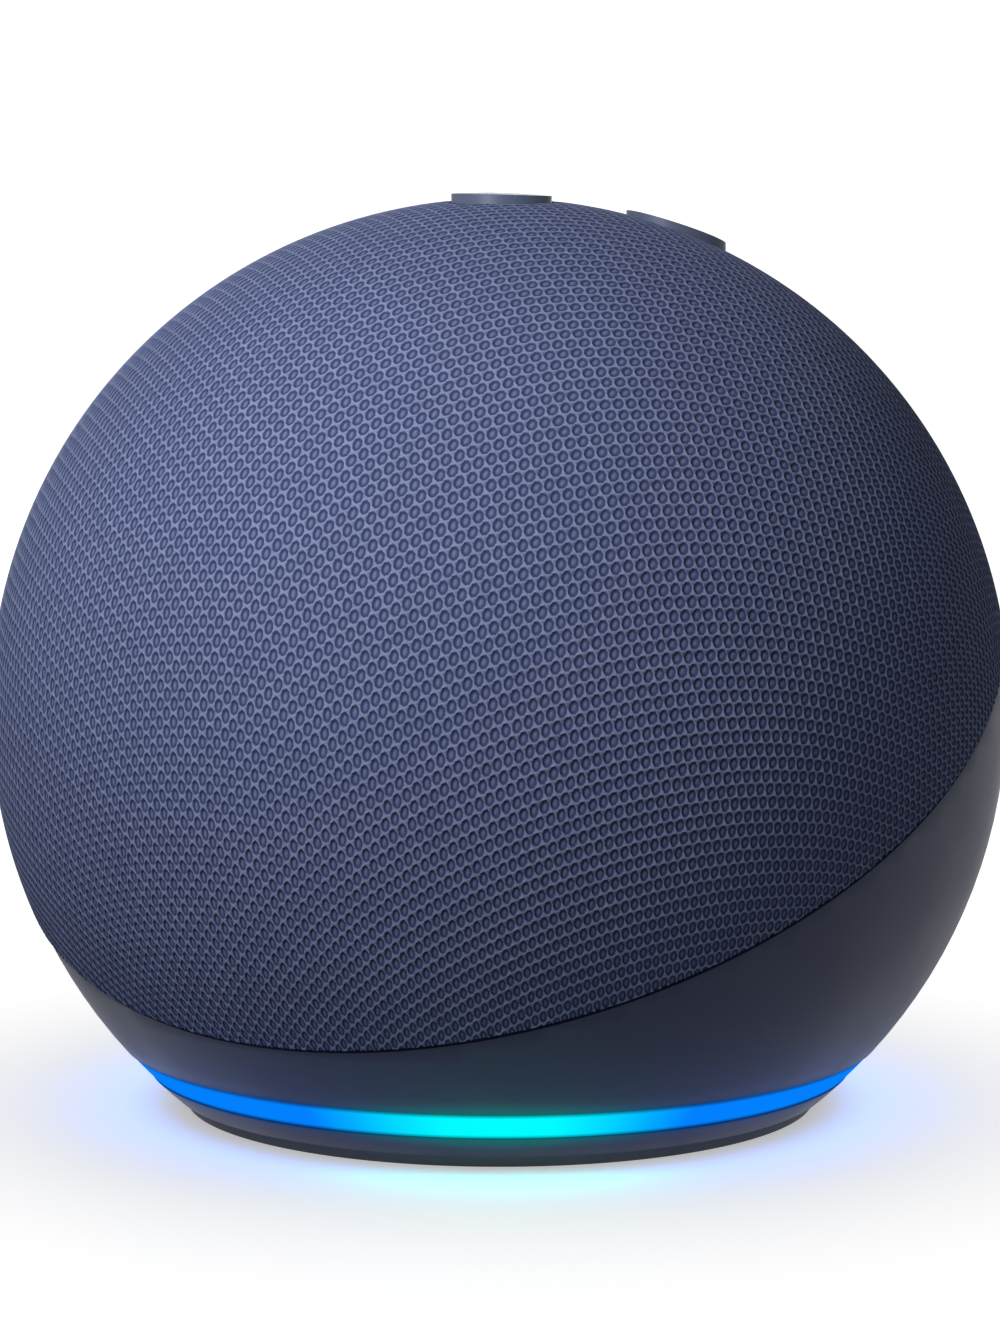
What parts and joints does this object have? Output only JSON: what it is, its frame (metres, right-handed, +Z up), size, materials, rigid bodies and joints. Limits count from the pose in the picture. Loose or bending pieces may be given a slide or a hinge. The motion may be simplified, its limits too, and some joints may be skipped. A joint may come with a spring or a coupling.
{
  "type": "smart speaker",
  "caption": "Ball-shaped smart speaker: knitted cover over a perforated dome, smooth rear shell, round top keys, light ring near the base, rubber foot.",
  "frame": {"origin": "centre of the footprint, on the surface that it stands on", "axes": "+Z up; the front, where the cover comes lowest and the loudspeaker faces, is -Y; +X is the right-hand side seen from behind the object's front"},
  "size_m": [0.1, 0.0997, 0.0896],
  "materials": {
    "knit": "honeycomb knit, matte, deep blue with a paler net",
    "shell_plastic": "satin moulded plastic, dark slate blue",
    "key_plastic": "satin moulded plastic",
    "dome_plastic": "matte moulded plastic",
    "diffuser": "translucent, lit from behind",
    "white_plastic": "white moulded plastic",
    "rubber": "matte black rubber",
    "steel": "bright zinc-plated steel",
    "circuit_board": "green solder mask",
    "chip": "black moulded packages",
    "lamp": "clear lamp packages",
    "aluminium": "plain sheet",
    "brass": "gold-plated contacts",
    "ferrite": "dark grey ceramic magnet",
    "box_plastic": "black moulded plastic",
    "paper": "pressed paper",
    "cloth": "resin-stiffened cloth",
    "wadding": "white polyester wadding",
    "copper": "enamelled copper wire",
    "film": "amber polyimide film",
    "lead_insulation": "red wire insulation"
  },
  "bodies": {
    "housing": {"fabric_cover": "knit", "grille_dome": "dome_plastic", "seam_gasket": "rubber", "rear_housing": "shell_plastic", "dome_screws": "steel", "light_ring": "diffuser", "light_reflector": "white_plastic", "light_board": "circuit_board", "ring_leds": "lamp", "base_cup": "shell_plastic", "foot_pad": "rubber", "base_screws": "steel", "chassis_tray": "box_plastic", "tray_screws": "steel", "ballast_disc": "steel", "main_board": "circuit_board", "board_chips": "chip", "thermal_pad": "rubber", "shield_can": "steel", "heat_spreader": "aluminium", "power_parts": "chip", "power_jack": "chip", "jack_pin": "brass", "enclosure_front": "box_plastic", "enclosure_rear": "box_plastic", "enclosure_gasket": "rubber", "enclosure_screws": "steel", "acoustic_wadding": "wadding", "driver_frame": "steel", "driver_top_plate": "steel", "driver_magnet": "ferrite", "driver_yoke": "steel", "driver_spider": "cloth", "driver_surround": "rubber", "driver_gasket": "rubber", "driver_screws": "steel", "driver_terminals": "brass", "speaker_leads": "lead_insulation", "lead_grommet": "rubber", "antennas": "copper", "button_board": "circuit_board", "button_switches": "white_plastic", "board_screws": "steel", "microphones": "brass", "mic_gaskets": "rubber", "button_ribbon": "film"},
    "diaphragm": {"driver_cone": "paper", "driver_dust_cap": "paper", "coil_former": "film", "coil_winding": "copper"},
    "volume_up_key": {"volume_up_button": "key_plastic", "volume_up_plunger": "chip"},
    "volume_down_key": {"volume_down_button": "key_plastic", "volume_down_plunger": "chip"},
    "action_key": {"action_button": "key_plastic", "action_plunger": "chip"},
    "mute_key": {"mute_button": "key_plastic", "mute_plunger": "chip"}
  },
  "joints": [
    {"name": "cone_travel", "type": "slide", "parent": "housing", "child": "diaphragm", "axis": [0, -1, 0], "range_m": [-0.0012, 0.0012], "stiffness_N_per_m": 2000, "deforming": ["driver_surround", "driver_spider"]},
    {"name": "volume_up_press", "type": "slide", "parent": "housing", "child": "volume_up_key", "axis": [0, 0, -1], "range_m": [0, 0.00035], "stiffness_N_per_m": 1500},
    {"name": "volume_down_press", "type": "slide", "parent": "housing", "child": "volume_down_key", "axis": [0, 0, -1], "range_m": [0, 0.00035], "stiffness_N_per_m": 1500},
    {"name": "action_press", "type": "slide", "parent": "housing", "child": "action_key", "axis": [0, 0, -1], "range_m": [0, 0.00035], "stiffness_N_per_m": 1500},
    {"name": "mute_press", "type": "slide", "parent": "housing", "child": "mute_key", "axis": [0, 0, -1], "range_m": [0, 0.00035], "stiffness_N_per_m": 1500}
  ]
}
